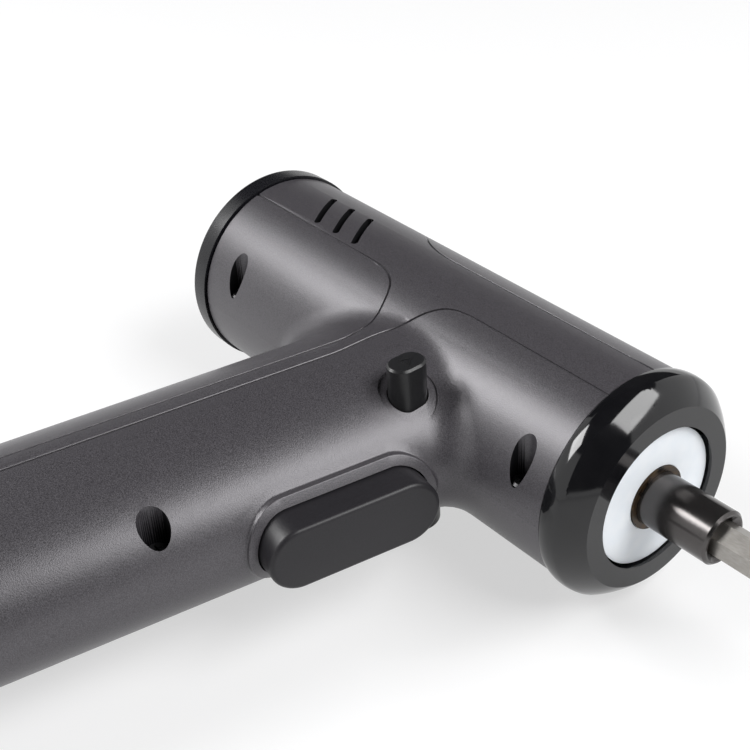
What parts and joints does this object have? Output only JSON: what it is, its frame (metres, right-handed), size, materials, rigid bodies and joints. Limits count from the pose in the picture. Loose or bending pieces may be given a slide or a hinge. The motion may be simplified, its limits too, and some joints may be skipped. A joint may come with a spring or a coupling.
{
  "type": "cordless screwdriver",
  "caption": "Pistol-grip cordless screwdriver: two-shell case, motor and two-stage planetary gearbox, hexagon bit socket, ring light, trigger and direction button.",
  "frame": {"origin": "bottom centre of the box; the tool lies on its left side, as on a bench", "axes": "+X along the barrel towards the bit, +Y up the tool and away from the grip, +Z out of the tool's right side, up when it lies down"},
  "size_m": [0.1778, 0.1598, 0.0476],
  "materials": {
    "case": "moulded, dark grey metallic paint with a fine grain",
    "cap": "satin near-black",
    "bezel": "polished black",
    "diffuser": "milky, bluish white",
    "trigger": "satin black",
    "button": "gloss black",
    "bush": "blackened sintered bush with an oily rim",
    "spindle": "blackened and polished",
    "bit": "satin, warm grey",
    "screw": "black oxide",
    "board": "green lacquer",
    "lamp": "clear over yellow",
    "housing": "glass-filled, black",
    "gear": "sintered, oiled",
    "spring_steel": "bright",
    "magnet": "sintered",
    "motor_steel": "zinc plated",
    "motor_plastic": "moulded, black",
    "bronze": "sintered bronze or copper",
    "carbon": "pressed carbon",
    "switch": "moulded, black",
    "cell": null,
    "nickel": "nickel plated"
  },
  "bodies": {
    "root": {"right_shell": "case", "left_shell": "case", "case_screws": "screw", "front_bezel": "bezel", "rear_cap": "cap", "light_diffuser": "diffuser", "light_board": "board", "light_lamps": "lamp", "gearbox_housing": "housing", "front_bush": "bush", "ring_gear": "gear", "motor_can": "motor_steel", "motor_magnets": "magnet", "motor_bush": "bronze", "motor_plate": "motor_steel", "motor_end_bell": "motor_plastic", "motor_brushes": "carbon", "trigger_switch": "switch", "direction_switch": "switch", "battery_cell": "cell", "cell_tabs": "nickel", "main_board": "board", "charge_port": "nickel"},
    "trigger": {"trigger": "trigger", "switch_plunger": "switch"},
    "direction_button": {"direction_button": "button", "direction_knob": "switch"},
    "spindle": {"spindle": "spindle", "output_carrier": "gear", "retaining_clip": "spring_steel", "socket_magnet": "magnet"},
    "bit": {"screwdriver_bit": "bit"},
    "first_carrier": {"first_carrier": "gear"},
    "rotor": {"motor_shaft": "motor_steel", "motor_core": "motor_steel", "commutator": "bronze", "motor_pinion": "gear"},
    "second_planet_1": {"second_planet_1": "gear"},
    "second_planet_2": {"second_planet_2": "gear"},
    "second_planet_3": {"second_planet_3": "gear"},
    "first_planet_1": {"first_planet_1": "gear"},
    "first_planet_2": {"first_planet_2": "gear"},
    "first_planet_3": {"first_planet_3": "gear"}
  },
  "joints": [
    {"name": "spindle_spin", "type": "hinge", "parent": "root", "child": "spindle", "pos_m": [0.0364, 0.0561, 0.0238], "axis": [1, 0, 0], "continuous": true},
    {"name": "bit_pull", "type": "slide", "parent": "spindle", "child": "bit", "axis": [1, 0, 0], "range_m": [0, 0.014]},
    {"name": "trigger_press", "type": "slide", "parent": "root", "child": "trigger", "axis": [-0.9877, 0.1564, 0], "range_m": [0, 0.003], "stiffness_N_per_m": 900, "springref_m": -0.003},
    {"name": "direction_slide", "type": "slide", "parent": "root", "child": "direction_button", "axis": [0, 0, -1], "range_m": [0, 0.005]},
    {"name": "carrier_spin", "type": "hinge", "parent": "root", "child": "first_carrier", "pos_m": [0.0034, 0.0561, 0.0238], "axis": [1, 0, 0], "continuous": true},
    {"name": "rotor_spin", "type": "hinge", "parent": "root", "child": "rotor", "pos_m": [-0.0336, 0.0561, 0.0238], "axis": [1, 0, 0], "continuous": true},
    {"name": "second_planet_1_spin", "type": "hinge", "parent": "spindle", "child": "second_planet_1", "pos_m": [0.0078, 0.06555, 0.0238], "axis": [1, 0, 0], "continuous": true},
    {"name": "second_planet_2_spin", "type": "hinge", "parent": "spindle", "child": "second_planet_2", "pos_m": [0.0078, 0.05137, 0.03198], "axis": [1, 0, 0], "continuous": true},
    {"name": "second_planet_3_spin", "type": "hinge", "parent": "spindle", "child": "second_planet_3", "pos_m": [0.0078, 0.05137, 0.01562], "axis": [1, 0, 0], "continuous": true},
    {"name": "first_planet_1_spin", "type": "hinge", "parent": "first_carrier", "child": "first_planet_1", "pos_m": [-0.0016, 0.06555, 0.0238], "axis": [1, 0, 0], "continuous": true},
    {"name": "first_planet_2_spin", "type": "hinge", "parent": "first_carrier", "child": "first_planet_2", "pos_m": [-0.0016, 0.05137, 0.03198], "axis": [1, 0, 0], "continuous": true},
    {"name": "first_planet_3_spin", "type": "hinge", "parent": "first_carrier", "child": "first_planet_3", "pos_m": [-0.0016, 0.05137, 0.01562], "axis": [1, 0, 0], "continuous": true}
  ],
  "couplings": [
    {"joint": "spindle_spin", "follows": "rotor_spin", "ratio": 0.049383},
    {"joint": "carrier_spin", "follows": "rotor_spin", "ratio": 0.22222},
    {"joint": "second_planet_1_spin", "follows": "rotor_spin", "ratio": -0.13827},
    {"joint": "second_planet_2_spin", "follows": "rotor_spin", "ratio": -0.13827},
    {"joint": "second_planet_3_spin", "follows": "rotor_spin", "ratio": -0.13827},
    {"joint": "first_planet_1_spin", "follows": "rotor_spin", "ratio": -0.62222},
    {"joint": "first_planet_2_spin", "follows": "rotor_spin", "ratio": -0.62222},
    {"joint": "first_planet_3_spin", "follows": "rotor_spin", "ratio": -0.62222}
  ]
}
